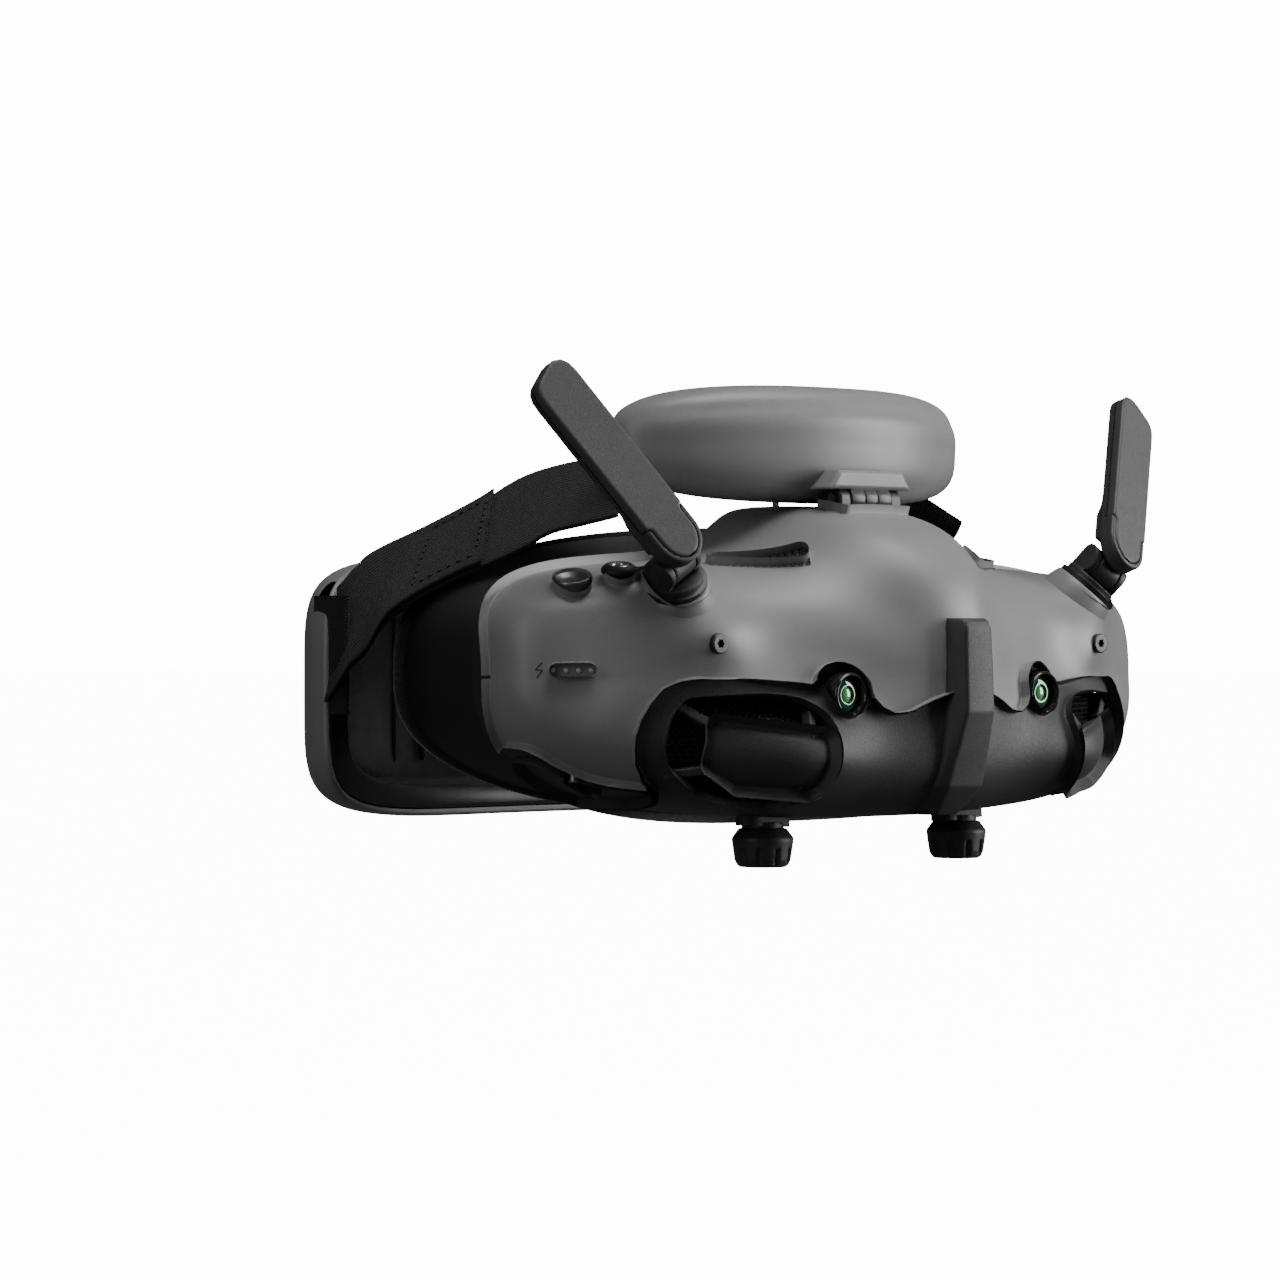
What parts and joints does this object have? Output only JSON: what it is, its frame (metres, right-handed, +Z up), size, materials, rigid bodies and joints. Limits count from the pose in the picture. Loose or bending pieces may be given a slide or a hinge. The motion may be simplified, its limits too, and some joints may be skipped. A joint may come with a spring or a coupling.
{
  "type": "fpv goggles",
  "caption": "Head-worn first-person-view goggles with twin front cameras, folding antennas, hinged forehead support, dial knobs and a rear battery pod on webbing straps.",
  "frame": {"origin": "middle of the head space, on the plane of symmetry, a little above the eye line", "axes": "+X towards the wearer's left, +Y towards the back of the head, +Z up; the front cameras look along -Y"},
  "size_m": [0.203, 0.1599, 0.1122],
  "materials": {
    "light_grey_plastic": "satin, fine leather grain",
    "dark_grey_plastic": "fine speckled texture",
    "black_plastic": "satin",
    "gloss_black": "gloss",
    "green_glass": "green anti-reflection coating",
    "clear_lens": "polished",
    "black_rubber": "matt",
    "foam": "knit-faced foam",
    "webbing": "ribbed webbing",
    "steel": "satin",
    "aluminium": "fine machined",
    "circuit_board": "solder mask",
    "light_pipe": "frosted"
  },
  "bodies": {
    "visor": {"front_shell": "light_grey_plastic", "front_cover": "dark_grey_plastic", "centre_blade": "dark_grey_plastic", "camera_bezel_left": "gloss_black", "camera_bezel_right": "gloss_black", "camera_glass_left": "green_glass", "camera_glass_right": "green_glass", "camera_module_left": "black_plastic", "camera_module_right": "black_plastic", "pod_cover_left": "dark_grey_plastic", "pod_cover_right": "dark_grey_plastic", "pod_grille_left": "black_plastic", "pod_grille_right": "black_plastic", "top_vent_left": "black_plastic", "top_vent_right": "black_plastic", "front_screws": "steel", "case_screws": "steel", "light_window": "light_pipe", "port_block": "steel", "rear_frame": "black_plastic", "light_shield": "black_rubber", "face_foam": "foam", "slide_rails": "steel", "mainboard": "circuit_board", "heat_sink": "aluminium", "fan_frame": "black_plastic", "antenna_sockets": "dark_grey_plastic", "stick_ring": "steel", "hinge_bracket": "dark_grey_plastic", "hinge_pin": "steel"},
    "headband": {"forehead_shell": "light_grey_plastic", "forehead_pad": "foam", "strap_left": "webbing", "strap_right": "webbing"},
    "rear_pod": {"rear_pod_shell": "light_grey_plastic", "rear_pod_tray": "black_plastic", "battery_cells": "aluminium"},
    "fan": {"fan_rotor": "black_plastic"},
    "stick_base": {"stick_plunger": "black_plastic"},
    "stick_yoke": {"stick_gimbal": "black_plastic"},
    "stick": {"stick_cap": "black_plastic"},
    "back_key": {"back_button": "dark_grey_plastic"},
    "power_key": {"power_button": "black_plastic"},
    "eyepiece_left": {"carriage_left": "black_plastic"},
    "knob_left": {"dial_knob_left": "dark_grey_plastic"},
    "focus_left": {"focus_barrel_left": "black_plastic", "eye_lens_left": "clear_lens", "display_left": "gloss_black"},
    "collar_left": {"antenna_collar_left": "dark_grey_plastic", "antenna_pin_left": "steel"},
    "antenna_left": {"antenna_blade_left": "dark_grey_plastic"},
    "eyepiece_right": {"carriage_right": "black_plastic"},
    "knob_right": {"dial_knob_right": "dark_grey_plastic"},
    "focus_right": {"focus_barrel_right": "black_plastic", "eye_lens_right": "clear_lens", "display_right": "gloss_black"},
    "collar_right": {"antenna_collar_right": "dark_grey_plastic", "antenna_pin_right": "steel"},
    "antenna_right": {"antenna_blade_right": "dark_grey_plastic"}
  },
  "joints": [
    {"name": "forehead_tilt", "type": "hinge", "parent": "visor", "child": "headband", "pos_m": [0, -0.075, 0.0322], "axis": [1, 0, 0], "range_deg": [0, 30]},
    {"name": "strap_adjust", "type": "slide", "parent": "headband", "child": "rear_pod", "axis": [0, 1, 0], "range_m": [-0.014, 0.06], "deforming": ["strap_left", "strap_right"]},
    {"name": "fan_spin", "type": "hinge", "parent": "visor", "child": "fan", "pos_m": [0, -0.0719, 0.013], "axis": [0, -1, 0], "continuous": true},
    {"name": "eye_distance_left", "type": "slide", "parent": "visor", "child": "eyepiece_left", "axis": [1, 0, 0], "range_m": [-0.004, 0.004]},
    {"name": "dial_turn_left", "type": "hinge", "parent": "eyepiece_left", "child": "knob_left", "pos_m": [-0.032, -0.0745, -0.046], "axis": [0, 0, 1], "range_deg": [-120, 120]},
    {"name": "focus_left", "type": "slide", "parent": "eyepiece_left", "child": "focus_left", "axis": [0, 1, 0], "range_m": [-0.0021, 0.0021]},
    {"name": "antenna_swivel_left", "type": "hinge", "parent": "visor", "child": "collar_left", "pos_m": [-0.0713, -0.0864, 0.018], "axis": [-0.467, -0.4633, 0.7532], "range_deg": [-25, 25]},
    {"name": "antenna_fold_left", "type": "hinge", "parent": "collar_left", "child": "antenna_left", "pos_m": [-0.07037, -0.08547, 0.01649], "axis": [0.8499, 0, 0.527], "range_deg": [-15, 65]},
    {"name": "eye_distance_right", "type": "slide", "parent": "visor", "child": "eyepiece_right", "axis": [1, 0, 0], "range_m": [-0.004, 0.004]},
    {"name": "dial_turn_right", "type": "hinge", "parent": "eyepiece_right", "child": "knob_right", "pos_m": [0.032, -0.0745, -0.046], "axis": [0, 0, 1], "range_deg": [-120, 120]},
    {"name": "focus_right", "type": "slide", "parent": "eyepiece_right", "child": "focus_right", "axis": [0, 1, 0], "range_m": [-0.0021, 0.0021]},
    {"name": "antenna_swivel_right", "type": "hinge", "parent": "visor", "child": "collar_right", "pos_m": [0.0713, -0.0864, 0.018], "axis": [0.467, -0.4633, 0.7532], "range_deg": [-25, 25]},
    {"name": "antenna_fold_right", "type": "hinge", "parent": "collar_right", "child": "antenna_right", "pos_m": [0.07037, -0.08547, 0.01649], "axis": [0.8254, -0.0772, -0.5593], "range_deg": [-15, 65]},
    {"name": "stick_press", "type": "slide", "parent": "visor", "child": "stick_base", "axis": [0.2614, 0.3907, -0.8826], "range_m": [0, 0.0005], "stiffness_N_per_m": 400},
    {"name": "stick_up_down", "type": "hinge", "parent": "stick_base", "child": "stick_yoke", "pos_m": [-0.07572, -0.07358, 0.0095], "axis": [0.9588, 0, 0.284], "range_deg": [-7, 7], "stiffness_Nm_per_rad": 0.02},
    {"name": "stick_left_right", "type": "hinge", "parent": "stick_yoke", "child": "stick", "pos_m": [-0.07572, -0.07358, 0.0095], "axis": [-0.111, 0.9205, 0.3746], "range_deg": [-7, 7], "stiffness_Nm_per_rad": 0.02},
    {"name": "back_press", "type": "slide", "parent": "visor", "child": "back_key", "axis": [0.3247, 0.3746, -0.8685], "range_m": [0, 0.0008], "stiffness_N_per_m": 400},
    {"name": "power_press", "type": "slide", "parent": "rear_pod", "child": "power_key", "axis": [0, 0, -1], "range_m": [0, 0.0008], "stiffness_N_per_m": 400}
  ],
  "couplings": [
    {"joint": "focus_left", "follows": "dial_turn_left", "m_per_rad": 0.00095},
    {"joint": "focus_right", "follows": "dial_turn_right", "m_per_rad": 0.00095}
  ]
}
